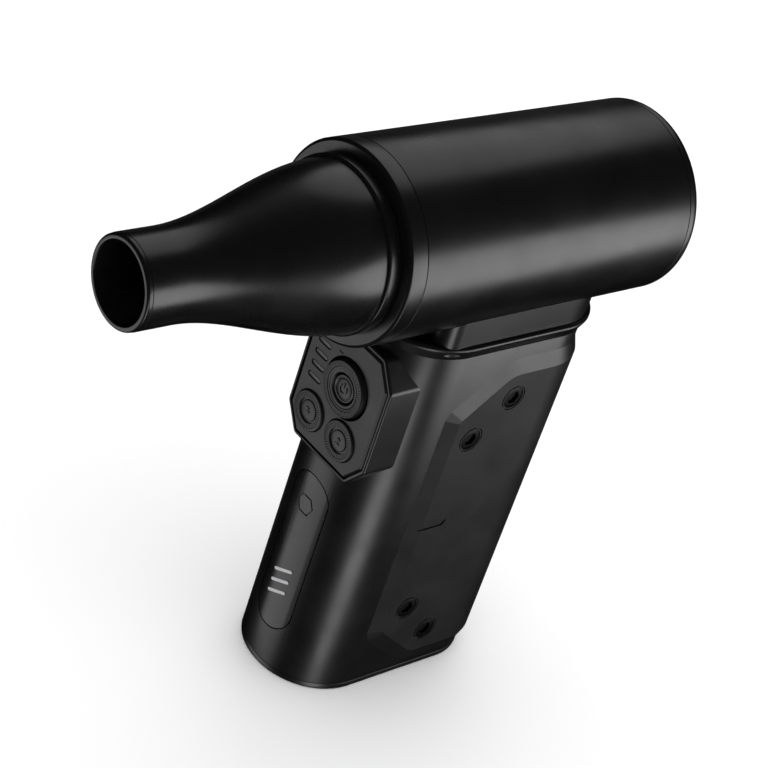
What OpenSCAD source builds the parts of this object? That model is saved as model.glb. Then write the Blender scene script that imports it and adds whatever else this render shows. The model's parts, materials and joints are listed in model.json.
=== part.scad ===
// Handheld jet blower for drying cars: a round barrel with a fan inside, a pull-off
// nozzle, and a battery handle that stands square under the barrel.
// Millimetres. +Z is up, the nozzle points along -Y, and +X is the blower's left-hand
// side cover. The origin is the middle of the handle's flat base.

/* [Barrel] */
// Outside diameter of the barrel
barrel_d = 56; // [48:1:68]
// Length of the barrel, from the front collar to the rear edge
barrel_l = 111; // [106:1:134]
// Wall of the barrel tube
barrel_wall = 2.2; // [1.8:0.1:2.8]
// How far the barrel's front edge lies ahead of the handle's middle
barrel_ahead = 57; // [52:1:60]
// Width of the front collar
collar_w = 5.8; // [5:0.1:8]
// Width of the rear ring that shows
ring_w = 4.7; // [4:0.1:7]

/* [Nozzle] */
// Length of the nozzle ahead of the collar
nozzle_l = 70.4; // [58:0.1:85]
// Bore of the nozzle's mouth
mouth_d = 21.6; // [18:0.1:26]
// Wall of the nozzle at its mouth
mouth_wall = 1.7; // [1.2:0.1:2.4]
// Straight length of the mouth's bore
mouth_straight = 14; // [10:1:20]
// Depth of the spigot that plugs into the collar
spigot_l = 9; // [7:0.5:10]
// Distance that the nozzle pulls out to come clear
nozzle_pull = 30; // [20:1:40]

/* [Handle] */
// Height of the handle shell, from the base to the top cap
handle_h = 126.5; // [124:0.5:155]
// Width of the handle shell across its sides
handle_w = 43.2; // [43:0.1:50]
// Depth of the handle shell from front to back
handle_d = 76; // [75:0.5:92]
// Radius of the two front corners
front_corner = 21.2; // [19:0.1:21.4]
// Radius of the two rear corners
rear_corner = 18.5; // [15:0.1:18.6]
// Wall of the handle shell
shell_wall = 1.6; // [1.4:0.1:1.6]
// Thickness of the top cap that carries the barrel
cap_t = 4.5; // [4:0.1:6]
// How far the top cap stands out past the shell
cap_lip = 1.7; // [1.6:0.1:2.6]
// Thickness of the base cap's plate
base_t = 2.4; // [2:0.1:3.5]
// How far the side covers stand out from the shell
cover_rise = 1.6; // [1.2:0.1:2]

/* [Controls] */
// Width of the control block
block_w = 36.8; // [35:0.2:38]
// Height of the control block
block_h = 44; // [42:0.5:50]
// How far the control block stands out ahead of the handle
block_rise = 1; // [1:0.1:3]
// Diameter of the speed dial
dial_d = 17; // [15:0.1:18]
// Diameter of the two small buttons
button_d = 12.4; // [10:0.1:13]
// Travel of each button
press = 0.8; // [0.5:0.1:1]

/* [Battery] */
// Diameter of one cell
cell_d = 18.3; // [18:0.1:18.4]
// Length of one cell
cell_l = 65; // [60:0.5:66]

/* [Hidden] */
$fn = 96;
slip = 0.2;
run = 0.04;

barrel_r = barrel_d / 2;
cradle = 2;
cap_top = handle_h + cap_t;
axis_h = cap_top + barrel_r - cradle;
front_y = -barrel_ahead;
rear_y = front_y + barrel_l;
handle_front = -handle_d / 2;
handle_rear = handle_d / 2;
inner_x = handle_w / 2 - shell_wall;

// Fan duct, from the outside in
bore_r = barrel_r - barrel_wall;
duct_or = bore_r - slip;
duct_ir = duct_or - 1.6;
tip_gap = 0.5;
pod_r = 14.5;
pod_wall = 1.4;
collar_hole = duct_ir - 1.8;
spigot_r = collar_hole - slip;
spigot_wall = 2.1;
seal_r = 0.75;
seal_y = 5.5;
face_gap = 0.1;
collar_lap = 5.2;

// Places along the barrel, from its front edge
sleeve_0 = front_y + collar_w + collar_lap + 0.2;
vane_0 = front_y + 28;
vane_1 = front_y + 66;
shroud_1 = rear_y - 9;
grille_t = 2.5;
grille_0 = rear_y - 2 - grille_t;
lead_y = vane_0 + 7;

// Motor: every place is measured from the wall that it is screwed to
motor_0 = vane_0 + 2;
base_disc_t = 2;
shaft_r = 1.5;
bearing_r = 4;
bearing_t = 4;
tube_r = 5;
tube_l = 20;
core_0 = motor_0 + 7;
core_l = 14;
core_r = 9.4;
bell_0 = motor_0 + 5;
bell_l = 20;
bell_r = 12;
magnet_t = 1;
impeller_0 = vane_1 + 8;
impeller_l = 18;
hub_r = 12;
blades = 9;
vanes = 7;

// Cells: two columns of three, upright; the two middle cover screws reach into the
// hollow between neighbouring cells, so the cells are placed from those screws
cell_pitch_x = 18.6;
cell_pitch_y = 18.5;
cells_z = 30.5;
cells_top = cells_z + cell_l;
holder_t = 3;
tab_t = 0.3;
valley_y = -5.1;
cell_ys = [for (i = [-1 : 1]) valley_y + cell_pitch_y / 2 + i * cell_pitch_y];
board_t = 1.6;
bms_z = 20;
driver_z = cells_top + tab_t + holder_t + 4;

// Side covers and their screws, set out from the middle of the cover
cover_mid = cells_z + cell_l / 2;
cover_h = 117.4;
cover_front = -17;
cover_cut = [18.8, 15.8];
cover_bevel = 4.9;
screw_far = [6.8, 45.2];
screw_near = [valley_y, 32.7];
mark_l = 9;
mark_w = 0.6;
mark_deep = 0.3;
screw_r = 1.25;
head_r = 3.4;
head_t = 1.2;
head_sink = 0.2;
recess_r = 4.3;
recess_deep = 0.45;

// Control block and what is in it
block_top = handle_h - 2.8;
block_mid = block_top - block_h / 2;
block_cut = [6, 8];
block_lip = 1;
block_front = handle_front - block_rise;
plate_gap = 0.25;
plate_bevel = 1.3;
plate_proud = 0.2;
plate_front = block_front - plate_proud;
floor_back = handle_front + shell_wall;
window_w = 28;
window_h = 34;
window_deep = 8;
board_gap = 2;
dial_x = 2;
dial_z = block_mid + 4.6;
dial_r = dial_d / 2;
dial_well = dial_r + 0.9;
dial_front = plate_front - 1.5;
skirt_r = 6.4;
cap_r = 4.2;
button_r = button_d / 2;
button_gap = 0.25;
button_front = plate_front - 0.7;
button_pos = [[-8.65, block_mid - 11.1], [5.9, block_mid - 11.1]];
stem_r = 2.2;
switch_tip = floor_back + 0.3;
stem_back = switch_tip - press - 0.15;
panel_board_y = switch_tip + 1.5;
bar_w = 5.6;
bar_h = 1.5;
bar_pitch = 4.05;
bar_x = -10.9;
bar_z = block_mid - 0.8;

// Inlay on the front of the handle
inlay_w = 16.2;
inlay_l = 58.5;
inlay_z = 43.8;
inlay_t = 1;
inlay_gap = 0.4;
pad_t = 1;

// Screws under the saddle, and the bosses in the handle
saddle_in = 1.2;
saddle_half = min(handle_w / 2 + cap_lip - saddle_in, barrel_r - 2);
saddle_front = handle_front + 10;
saddle_rear = handle_rear + cap_lip - saddle_in;
saddle_corner_0 = 6;
saddle_corner_1 = rear_corner + cap_lip - saddle_in;
saddle_sink = 3;
saddle_gap = 0.15;
cap_posts = [[14, -19], [14, 24]];
cap_post_l = 14;
post_r = 3.2;
saddle_screws = [[14, -8], [14, 14]];
saddle_screw_top = axis_h - sqrt(pow(barrel_r, 2) - pow(saddle_screws[0][0] - screw_r, 2)) - 0.3;
barrel_screws = [-6, 22];
base_posts = [[13, -17], [12.5, 23]];
base_post_l = 7;
plug_wall = 1.5;
plug_h = 5;

// Charging port, low on the back of the handle
port_w = 9;
port_h = 3.2;
port_z = bms_z + board_t + port_h / 2;
port_d = 7.3;

// ---- Shared shapes -------------------------------------------------------------

// A solid of revolution about the barrel's centre line; the profile is [radius, y]
module turned() {
    translate([0, 0, axis_h]) rotate([-90, 0, 0]) rotate_extrude() children();
}

module ring(outer, inner, y0, y1) {
    turned() translate([inner, y0]) square([outer - inner, y1 - y0]);
}

module disc(r, y0, y1) {
    translate([0, y0, axis_h]) rotate([-90, 0, 0]) cylinder(r = r, h = y1 - y0);
}

// A shape drawn in x and z, running from y0 back to y1
module facing(y0, y1) {
    translate([0, y1, 0]) rotate([90, 0, 0]) linear_extrude(y1 - y0) children();
}

module rod_y(x, z, r, y0, y1) {
    translate([x, y0, z]) rotate([-90, 0, 0]) cylinder(r = r, h = y1 - y0);
}

module rod_x(x0, x1, y, z, r) {
    translate([x0, y, z]) rotate([0, 90, 0]) cylinder(r = r, h = x1 - x0);
}

module rod_z(x, y, r, z0, z1) {
    translate([x, y, z0]) cylinder(r = r, h = z1 - z0);
}

module both_sides() {
    children();
    mirror([1, 0, 0]) children();
}

// A rectangle in plan whose front and rear corners have their own radii
module rounded_plan(half_w, y0, y1, r0, r1) {
    translate([-half_w, y0 + r0]) square([2 * half_w, y1 - r1 - y0 - r0]);
    translate([-(half_w - r0), y0]) square([2 * (half_w - r0), r0 + 0.01]);
    translate([-(half_w - r1), y1 - r1 - 0.01]) square([2 * (half_w - r1), r1 + 0.01]);
    for (s = [-1, 1]) translate([s * (half_w - r0), y0 + r0]) circle(r = r0);
    for (s = [-1, 1]) translate([s * (half_w - r1), y1 - r1]) circle(r = r1);
}

// The handle's outline seen from above, grown outwards by g
module handle_plan(g = 0) {
    rounded_plan(handle_w / 2 + g, handle_front - g, handle_rear + g,
        front_corner + g, rear_corner + g);
}

module handle_prism(g, z0, z1) {
    translate([0, 0, z0]) linear_extrude(z1 - z0) handle_plan(g);
}

module saddle_plan(g = 0) {
    rounded_plan(saddle_half + g, saddle_front - g, saddle_rear + g,
        saddle_corner_0 + g, saddle_corner_1 + g);
}

// ---- Barrel --------------------------------------------------------------------

module barrel_screw_holes() {
    for (y = barrel_screws) rod_z(0, y, screw_r + 0.1, 0, axis_h);
}

module lead_hole(r) {
    rod_z(0, lead_y, r, handle_h - 20, axis_h - pod_r + pod_wall + 0.5);
}

module barrel_tube() color([0.06, 0.06, 0.065]) difference() {
    ring(barrel_r, bore_r, front_y + collar_w, rear_y - ring_w);
    barrel_screw_holes();
    for (y = barrel_screws) rod_z(0, y, 2.7, axis_h - bore_r - 0.9, axis_h);
    lead_hole(3);
}

module front_collar() color([0.06, 0.06, 0.065]) turned() difference() {
    union() {
        translate([collar_hole, front_y]) square([barrel_r - collar_hole, collar_w]);
        translate([collar_hole, front_y + collar_w])
            square([bore_r - slip - collar_hole, collar_lap]);
    }
    translate([barrel_r, front_y]) rotate(45) square([0.7, 0.7], center = true);
}

module rear_ring() color([0.06, 0.06, 0.065]) turned() {
    edge_r = 3.5;
    lip_r = duct_ir - 1.2;
    seat_r = duct_ir + 0.5;
    difference() {
        translate([lip_r, rear_y - ring_w]) square([barrel_r - lip_r, ring_w]);
        translate([0, rear_y - 2 - grille_t - 0.5]) square([seat_r, grille_t + 0.5]);
        difference() {
            translate([barrel_r - edge_r, rear_y - edge_r]) square(edge_r + 1);
            translate([barrel_r - edge_r, rear_y - edge_r]) circle(r = edge_r);
        }
    }
    translate([seat_r, rear_y - ring_w - 3.5]) square([duct_or - seat_r, 3.6]);
}

module intake_grille() color([0.08, 0.08, 0.085]) {
    rim_r = duct_ir + 0.4;
    bars = 8;
    rings = 4;
    step = (rim_r - 2 - 5) / rings;
    disc(5.2, grille_0, grille_0 + grille_t);
    ring(rim_r, rim_r - 2, grille_0, grille_0 + grille_t);
    for (i = [1 : rings - 1]) ring(5 + i * step + 0.6, 5 + i * step - 0.6,
        grille_0 + 0.5, grille_0 + grille_t);
    for (a = [0 : 360 / bars : 359]) translate([0, grille_0, axis_h])
        rotate([0, a, 0]) translate([-0.7, 0.3, 4.5]) cube([1.4, grille_t - 0.6, rim_r - 5.5]);
}

module outlet_sleeve() color([0.12, 0.12, 0.13]) turned() polygon([
    [duct_or, sleeve_0], [duct_or, vane_0], [duct_ir, vane_0],
    [spigot_r - spigot_wall + 0.4, sleeve_0]
]);

module vane_housing() color([0.14, 0.14, 0.15]) difference() {
    union() {
        ring(duct_or, duct_ir, vane_0, vane_1);
        ring(pod_r, pod_r - pod_wall, vane_0, vane_1 - 8);
        ring(pod_r, 3, vane_0, motor_0);
        for (i = [0 : vanes - 1]) translate([0, vane_0 + 17, axis_h])
            rotate([0, 180 + i * 360 / vanes, 0]) rotate([0, 0, i == 0 ? 0 : 14])
            translate([-0.8, -15, pod_r - 0.6]) cube([1.6, 30, duct_ir - pod_r + 1.2]);
        rod_z(0, lead_y, 3, axis_h - duct_ir - 0.6, axis_h - pod_r + 0.6);
    }
    rod_z(0, lead_y, 2, axis_h - barrel_r, axis_h - pod_r + pod_wall + 0.5);
    for (a = [45 : 90 : 315]) translate([0, 0, axis_h]) rotate([0, a, 0])
        translate([0, 0, -axis_h]) rod_y(8, axis_h, 1.1, vane_0 - 1, motor_0 + 1);
}

module fan_shroud() color([0.12, 0.12, 0.13]) ring(duct_or, duct_ir, vane_1, shroud_1);

// Rounded nose on the front of the motor pod, in the air stream
module pod_nose() color([0.14, 0.14, 0.15]) {
    nose_l = 16;
    difference() {
        turned() polygon(concat(
            [[0, vane_0], [pod_r, vane_0]],
            [for (a = [0 : 9 : 90]) [pod_r * cos(a), vane_0 - nose_l * sin(a)]]
        ));
        disc(pod_r - 3, vane_0 - 6, vane_0 + 1);
    }
}

// ---- Motor ---------------------------------------------------------------------

module motor_base() color([0.62, 0.62, 0.64]) difference() {
    union() {
        disc(pod_r - pod_wall - 0.1, motor_0, motor_0 + base_disc_t);
        disc(tube_r, motor_0, motor_0 + base_disc_t + tube_l);
    }
    disc(shaft_r + 0.6, motor_0 - 1, motor_0 + 40);
    disc(bearing_r, motor_0 - 1, motor_0 + bearing_t);
    disc(bearing_r, motor_0 + base_disc_t + tube_l - bearing_t, motor_0 + 40);
}

module motor_core() color([0.72, 0.42, 0.2]) {
    teeth = 9;
    ring(tube_r + 2.2, tube_r, core_0, core_0 + core_l);
    for (i = [0 : teeth - 1]) translate([0, core_0, axis_h]) rotate([0, i * 360 / teeth, 0]) {
        translate([-1.1, 0, tube_r + 1.8]) cube([2.2, core_l, core_r - tube_r - 2.6]);
        translate([-2.2, 1, tube_r + 2]) cube([4.4, core_l - 2, 0.9]);
    }
    ring(core_r, core_r - 0.9, core_0 + 0.5, core_0 + core_l - 0.5);
}

module bearing(y0) color([0.75, 0.75, 0.78]) {
    ring(bearing_r, shaft_r, y0, y0 + bearing_t);
}

module motor_shaft() color([0.8, 0.8, 0.82]) {
    disc(shaft_r - run, motor_0 + 0.3, impeller_0 + impeller_l + 4);
}

module rotor_bell() color([0.3, 0.3, 0.32]) difference() {
    disc(bell_r, bell_0, bell_0 + bell_l);
    disc(bell_r - 1, bell_0 - 1, bell_0 + bell_l - 2);
    disc(shaft_r - run, bell_0, bell_0 + bell_l + 1);
}

module magnet_ring() color([0.5, 0.5, 0.52]) {
    ring(bell_r - 1, bell_r - 1 - magnet_t, bell_0 + 1, bell_0 + core_l + 1.5);
}

module impeller() color([0.18, 0.18, 0.2]) difference() {
    union() {
        disc(hub_r, impeller_0, impeller_0 + impeller_l);
        intersection() {
            for (i = [0 : blades - 1]) translate([0, impeller_0 + impeller_l / 2, axis_h])
                rotate([0, i * 360 / blades, 0]) rotate([0, 0, 38])
                translate([-0.6, -9, hub_r - 2]) cube([1.2, 18, duct_ir - hub_r + 4]);
            disc(duct_ir - tip_gap, impeller_0 + 0.5, impeller_0 + impeller_l - 0.5);
        }
        disc(4, bell_0 + bell_l, impeller_0 + 1);
    }
    disc(shaft_r - run, bell_0, impeller_0 + impeller_l + 1);
}

module spinner_nut() color([0.7, 0.7, 0.72]) difference() {
    turned() polygon(concat(
        [[0, impeller_0 + impeller_l]],
        [for (a = [0 : 15 : 90]) [5 * cos(a), impeller_0 + impeller_l + 1 + 5 * sin(a)]]
    ));
    disc(shaft_r - run, impeller_0, impeller_0 + impeller_l + 4);
}

// ---- Nozzle --------------------------------------------------------------------

// Smooth step from 0 to 1, level at both ends
function ease(t) = let (c = min(1, max(0, t))) c * c * (3 - 2 * c);
function swell(ahead, r0, r1, from, to) = r0 + (r1 - r0) * ease((from - ahead) / (from - to));

module nozzle() color([0.06, 0.06, 0.065]) {
    shoulder_r = spigot_r + 1.4;
    base_r = spigot_r + 2.3;
    mouth_r = mouth_d / 2 + mouth_wall;
    exit_r = spigot_r - spigot_wall;
    flare_0 = nozzle_l - 12.4;
    bore_0 = nozzle_l - mouth_straight;
    steps = 14;
    difference() {
        turned() polygon(concat(
            [[exit_r, front_y + spigot_l], [spigot_r, front_y + spigot_l]],
            [[spigot_r, front_y - face_gap], [base_r, front_y - face_gap], [base_r, front_y - 3.4]],
            [for (i = [0 : steps]) let (u = 4.4 + (flare_0 - 4.4) * i / steps)
                [swell(u, mouth_r, shoulder_r, flare_0, 4), front_y - u]],
            [[mouth_r, front_y - nozzle_l + 0.6], [mouth_r - 0.4, front_y - nozzle_l]],
            [[mouth_d / 2, front_y - nozzle_l]],
            [for (i = [0 : steps]) let (u = bore_0 - bore_0 * i / steps)
                [swell(u, mouth_d / 2, exit_r, bore_0, 0), front_y - u]]
        ));
        ring(spigot_r + 1, spigot_r - 1.4, front_y + seal_y - 0.85, front_y + seal_y + 0.85);
    }
}

module nozzle_seal() color([0.1, 0.1, 0.1]) turned() {
    translate([spigot_r - 1.4 + seal_r, front_y + seal_y]) circle(r = seal_r, $fn = 32);
}

// ---- Saddle and top cap --------------------------------------------------------

module saddle_screw_holes(r, z0, z1) {
    for (p = saddle_screws) both_sides() rod_z(p[0], p[1], r, z0, z1);
}

module saddle() color([0.06, 0.06, 0.065]) difference() {
    translate([0, 0, cap_top - saddle_sink]) linear_extrude(barrel_r) saddle_plan();
    disc(barrel_r, front_y, rear_y + 40);
    barrel_screw_holes();
    lead_hole(3);
    saddle_screw_holes(screw_r, cap_top - saddle_sink - 1, saddle_screw_top + 0.2);
}

module top_cap() color([0.07, 0.07, 0.075]) difference() {
    union() {
        handle_prism(cap_lip, handle_h, cap_top);
        difference() {
            handle_prism(-shell_wall - slip, handle_h - 3, handle_h + 0.1);
            handle_prism(-shell_wall - slip - plug_wall, handle_h - 4, handle_h);
            for (p = cap_posts) both_sides()
                translate([p[0] - 4, p[1] - 4, handle_h - 4]) cube([12, 8, 4]);
        }
        for (y = barrel_screws) rod_z(0, y, 3.5, handle_h - 3, handle_h + 0.1);
    }
    translate([0, 0, cap_top - saddle_sink]) linear_extrude(10) saddle_plan(saddle_gap);
    disc(barrel_r + 0.3, front_y, rear_y + 40);
    for (y = barrel_screws) rod_z(0, y, screw_r, handle_h - 4, axis_h);
    lead_hole(4);
    saddle_screw_holes(screw_r + 0.15, handle_h - 1, cap_top);
    for (p = cap_posts) both_sides() {
        rod_z(p[0], p[1], screw_r + 0.15, handle_h - 1, cap_top);
        rod_z(p[0], p[1], 2.4, cap_top - saddle_sink - 0.7, cap_top);
    }
}

// A countersunk screw standing on its tip, its head's top at z
module flat_screw(x, y, z, length, r_head) {
    difference() {
        union() {
            rod_z(x, y, screw_r, z - length, z);
            rod_z(x, y, r_head, z - 0.6, z);
        }
        rod_z(x, y, 0.9, z - 0.4, z + 1, $fn = 6);
    }
}

module barrel_screws() color([0.55, 0.55, 0.58]) {
    for (y = barrel_screws) flat_screw(0, y, axis_h - bore_r - 0.3, 7, 2.5);
}

module cap_screws() color([0.55, 0.55, 0.58]) {
    for (p = cap_posts) both_sides() flat_screw(p[0], p[1], cap_top - saddle_sink - 0.1, 8, 2.2);
}

module saddle_screws() color([0.55, 0.55, 0.58]) for (p = saddle_screws) both_sides() {
    rod_z(p[0], p[1], screw_r, handle_h - 0.1, saddle_screw_top);
    rod_z(p[0], p[1], 2.3, handle_h - 1.8, handle_h);
}

// ---- Handle --------------------------------------------------------------------

// Outline of a side cover in y and z: square at the back, corners cut off in front
module cover_outline() {
    z0 = cover_mid - cover_h / 2;
    z1 = cover_mid + cover_h / 2;
    back = handle_rear + cover_rise;
    polygon([
        [back, z0], [cover_front + cover_cut[0], z0], [cover_front, z0 + cover_cut[1]],
        [cover_front, z1 - cover_cut[1]], [cover_front + cover_cut[0], z1], [back, z1]
    ]);
}

// Each screw of the +X cover: its y, its z, and how deep its thread runs from the face
cover_screw_spots = [for (s = [-1, 1]) each [
    [screw_far[0], cover_mid + s * screw_far[1], 8],
    [screw_near[0], cover_mid + s * screw_near[1], 4.4]
]];

module shell_bosses() {
    for (q = cover_screw_spots)
        rod_x(handle_w / 2 - q[2], handle_w / 2 - 0.5, q[0], q[1], 2.6);
    for (p = cap_posts) {
        rod_z(p[0], p[1], post_r, handle_h - cap_post_l, handle_h);
        translate([p[0], p[1] - 1, handle_h - cap_post_l])
            cube([inner_x + 0.5 - p[0], 2, cap_post_l - 3.5]);
    }
    for (p = base_posts) {
        rod_z(p[0], p[1], post_r, base_t, base_t + base_post_l);
        translate([p[0], p[1] - 1, base_t + plug_h + 0.3])
            cube([inner_x + 0.5 - p[0], 2, base_post_l - plug_h - 0.3]);
    }
}

module shell_holes() {
    for (q = cover_screw_spots)
        rod_x(handle_w / 2 - q[2] - 1, handle_w / 2 + 1, q[0], q[1], screw_r);
    for (p = cap_posts) rod_z(p[0], p[1], screw_r, handle_h - cap_post_l - 1, handle_h + 1);
    for (p = base_posts) rod_z(p[0], p[1], screw_r, base_t - 1, base_t + base_post_l + 1);
}

module stadium(w, l) {
    square([w, l - w], center = true);
    for (s = [-1, 1]) translate([0, s * (l - w) / 2]) circle(d = w);
}

// A layer that follows the handle's rounded nose, between two offsets of its outline,
// inside the inlay's outline grown by g
module inlay_layer(g, outer, inner) {
    intersection() {
        difference() {
            handle_prism(outer, 0, handle_h);
            handle_prism(inner, -1, handle_h + 1);
        }
        facing(handle_front - 2, handle_front + inlay_w / 2)
            translate([0, inlay_z]) stadium(inlay_w + g, inlay_l + g);
    }
}

module handle_shell() color([0.06, 0.06, 0.065]) difference() {
    union() {
        difference() {
            handle_prism(0, base_t, handle_h);
            handle_prism(-shell_wall, base_t - 1, handle_h + 1);
        }
        intersection() {
            handle_prism(-shell_wall + 0.1, base_t, handle_h);
            both_sides() shell_bosses();
        }
        inlay_layer(2, -shell_wall + 0.1, -shell_wall - pad_t);
    }
    both_sides() shell_holes();
    inlay_layer(0, 1, -inlay_t);
    facing(handle_front - 1, handle_front + window_deep) translate([0, block_mid])
        square([window_w, window_h], center = true);
    facing(handle_rear - 4, handle_rear + 1) translate([0, port_z])
        stadium_flat(port_w + 0.4, port_h + 0.4);
}

// A slot with round ends, lying on its side
module stadium_flat(w, h) {
    rotate(90) stadium(h, w);
}

module front_inlay() color([0.05, 0.05, 0.055]) difference() {
    inlay_layer(-2 * inlay_gap, 0, -inlay_t);
    facing(handle_front - 1, handle_front + 0.45) translate([0, inlay_z + 18])
        difference() {
            circle(r = 3.4, $fn = 6);
            circle(r = 2.9, $fn = 6);
        }
}

module side_cover() {
    z0 = cover_mid - cover_h / 2;
    z1 = cover_mid + cover_h / 2;
    slope = atan(cover_rise / cover_bevel);
    cut_turn = atan2(cover_cut[0], cover_cut[1]);
    face_x = handle_w / 2 + cover_rise;
    wrap_end = handle_rear - 5;
    difference() {
        intersection() {
            hull() {
                for (e = [[0, 0], [cover_bevel, cover_rise]])
                    translate([0, 0, z0 + e[0]]) linear_extrude(cover_h - 2 * e[0])
                        handle_plan(e[1], $fn = 64);
            }
            rotate([90, 0, 90]) linear_extrude(handle_w) cover_outline();
            translate([0, -handle_d, 0]) cube([handle_w, handle_d + wrap_end, axis_h]);
        }
        handle_prism(0, 0, axis_h);
        // Sloping edges: straight down the front, and across the two cut corners
        translate([face_x, cover_front + cover_bevel, 0]) rotate([0, 0, 90 - slope])
            translate([-40, 0, 0]) mirror([0, 1, 0]) cube([80, 10, axis_h]);
        for (s = [-1, 1]) translate([face_x, cover_front + cover_cut[0] / 2,
                cover_mid + s * (cover_h - cover_cut[1]) / 2])
            rotate([s * -cut_turn, 0, 0]) translate([0, cover_bevel, -40])
            rotate([0, 0, 90 - slope]) translate([-40, 0, 0]) mirror([0, 1, 0]) cube([80, 10, 80]);
        translate([face_x - mark_deep, cover_front + cover_bevel - 1, cover_mid])
            cube([1, mark_l + 1, mark_w]);
        for (q = cover_screw_spots) {
            rod_x(0, handle_w, q[0], q[1], screw_r + 0.15);
            rod_x(face_x - head_t, handle_w, q[0], q[1], head_r + 0.1);
            difference() {
                rod_x(face_x - recess_deep, handle_w, q[0], q[1], recess_r);
                rod_x(0, handle_w, q[0], q[1], recess_r - 0.45);
            }
        }
    }
}

module side_cover_left() color([0.07, 0.07, 0.075]) side_cover();
module side_cover_right() color([0.07, 0.07, 0.075]) mirror([1, 0, 0]) side_cover();

module cover_screw_set() color([0.1, 0.1, 0.11]) {
    face_x = handle_w / 2 + cover_rise;
    for (q = cover_screw_spots) difference() {
        union() {
            rod_x(face_x - head_t, face_x - head_sink, q[0], q[1], head_r);
            rod_x(handle_w / 2 - q[2] + 0.6, face_x - head_t, q[0], q[1], screw_r);
        }
        rod_x(face_x - head_t + 0.2, face_x, q[0], q[1], 1.9, $fn = 6);
    }
}

module cover_screws_left() cover_screw_set();
module cover_screws_right() mirror([1, 0, 0]) cover_screw_set();

module base_cap() color([0.07, 0.07, 0.075]) difference() {
    union() {
        handle_prism(0, 0, base_t);
        difference() {
            handle_prism(-shell_wall - slip, base_t - 0.1, base_t + plug_h);
            handle_prism(-shell_wall - slip - plug_wall, base_t, base_t + plug_h + 1);
            both_sides() for (p = base_posts) translate([p[0] - 4, p[1] - 4, base_t])
                cube([12, 8, plug_h + 1]);
        }
    }
    both_sides() for (p = base_posts) {
        rod_z(p[0], p[1], screw_r + 0.15, -1, base_t + 1);
        rod_z(p[0], p[1], 2.6, -1, 1.4);
    }
}

module base_screws() color([0.12, 0.12, 0.13]) for (p = base_posts) both_sides() difference() {
    union() {
        rod_z(p[0], p[1], 2.4, 0.2, 1.4);
        rod_z(p[0], p[1], screw_r, 1.3, base_t + 5.5);
    }
    rod_z(p[0], p[1], 1, 0, 0.9, $fn = 6);
}

// ---- Controls ------------------------------------------------------------------

// The block's outline with its corners cut off, drawn inwards by d
module block_plan(d) {
    a = block_cut[0];
    b = block_cut[1];
    cut = block_cut * (1 - d * (1 / a + 1 / b - norm([1 / a, 1 / b])));
    translate([0, block_mid]) polygon([for (s = [[1, 1], [-1, 1], [-1, -1], [1, -1]], e = [0, 1])
        let (swap = s[0] * s[1] > 0 ? e : 1 - e)
        [s[0] * (block_w / 2 - d - cut[0] * swap), s[1] * (block_h / 2 - d - cut[1] * (1 - swap))]]);
}

module control_block() color([0.07, 0.07, 0.075]) difference() {
    union() {
        difference() {
            facing(block_front, handle_front + 14) block_plan(0);
            handle_prism(0, 0, axis_h);
        }
        facing(handle_front - 0.5, floor_back) translate([0, block_mid])
            square([window_w - 2 * slip, window_h - 2 * slip], center = true);
    }
    facing(block_front - 1, handle_front - 0.1) block_plan(block_lip);
    facing(floor_back, handle_front + 14) translate([0, block_mid])
        square([window_w - board_gap, window_h - board_gap], center = true);
    rod_y(dial_x, dial_z, skirt_r + 0.3, handle_front - 3, handle_front + 3);
    for (b = button_pos) rod_y(b[0], b[1], stem_r + 0.25, handle_front - 3, handle_front + 3);
}

module control_plate() color([0.09, 0.09, 0.095]) {
    edge = block_lip + plate_gap;
    back = handle_front - 0.1;
    difference() {
        union() {
            facing(plate_front + 0.5, back) block_plan(edge);
            hull() for (e = [[0, 0.5], [plate_bevel, 0]])
                facing(plate_front + e[1], plate_front + 0.6) block_plan(edge + e[0]);
        }
        rod_y(dial_x, dial_z, dial_well, plate_front - 1, back + 1);
        for (b = button_pos) rod_y(b[0], b[1], button_r + button_gap, plate_front - 1, back + 1);
        for (i = [0 : 3]) translate([0, 0, bar_z + i * bar_pitch])
            facing(plate_front - 1, plate_front + 0.6)
            translate([bar_x, 0]) stadium_flat(bar_w, bar_h);
    }
}

module level_bars() color([0.2, 0.2, 0.21]) for (i = [0 : 3])
    translate([0, 0, bar_z + i * bar_pitch]) facing(plate_front + 0.15, plate_front + 0.6)
        translate([bar_x, 0]) stadium_flat(bar_w - 0.1, bar_h - 0.1);

module speed_dial() color([0.1, 0.1, 0.105]) difference() {
    union() {
        rod_y(dial_x, dial_z, dial_r, dial_front, handle_front - 0.3);
        rod_y(dial_x, dial_z, skirt_r, handle_front - 0.5, floor_back + 0.5);
    }
    rod_y(dial_x, dial_z, cap_r + 0.25, dial_front - 1, floor_back + 1);
}

module power_button() color([0.12, 0.12, 0.125]) {
    rod_y(dial_x, dial_z, cap_r, dial_front + 0.1, handle_front - 0.5);
    rod_y(dial_x, dial_z, stem_r, handle_front - 1, stem_back);
}

module small_button(b) color([0.1, 0.1, 0.105]) {
    rod_y(b[0], b[1], button_r, button_front, handle_front - 0.1 - press - 0.2);
    rod_y(b[0], b[1], stem_r, handle_front - 2, stem_back);
}

module mode_button() small_button(button_pos[0]);
module light_button() small_button(button_pos[1]);

module panel_board() color([0.05, 0.2, 0.1]) facing(panel_board_y, panel_board_y + board_t)
    translate([0, block_mid])
        square([window_w - 2 * board_gap, window_h - 2 * board_gap], center = true);

module tact_switches() color([0.2, 0.2, 0.2]) {
    for (b = concat(button_pos, [[dial_x, dial_z]])) {
        rod_y(b[0], b[1], 1.5, switch_tip, panel_board_y - 0.6);
        translate([b[0] - 2.4, panel_board_y - 0.9, b[1] - 2.4]) cube([4.8, 0.9, 4.8]);
    }
}

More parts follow.
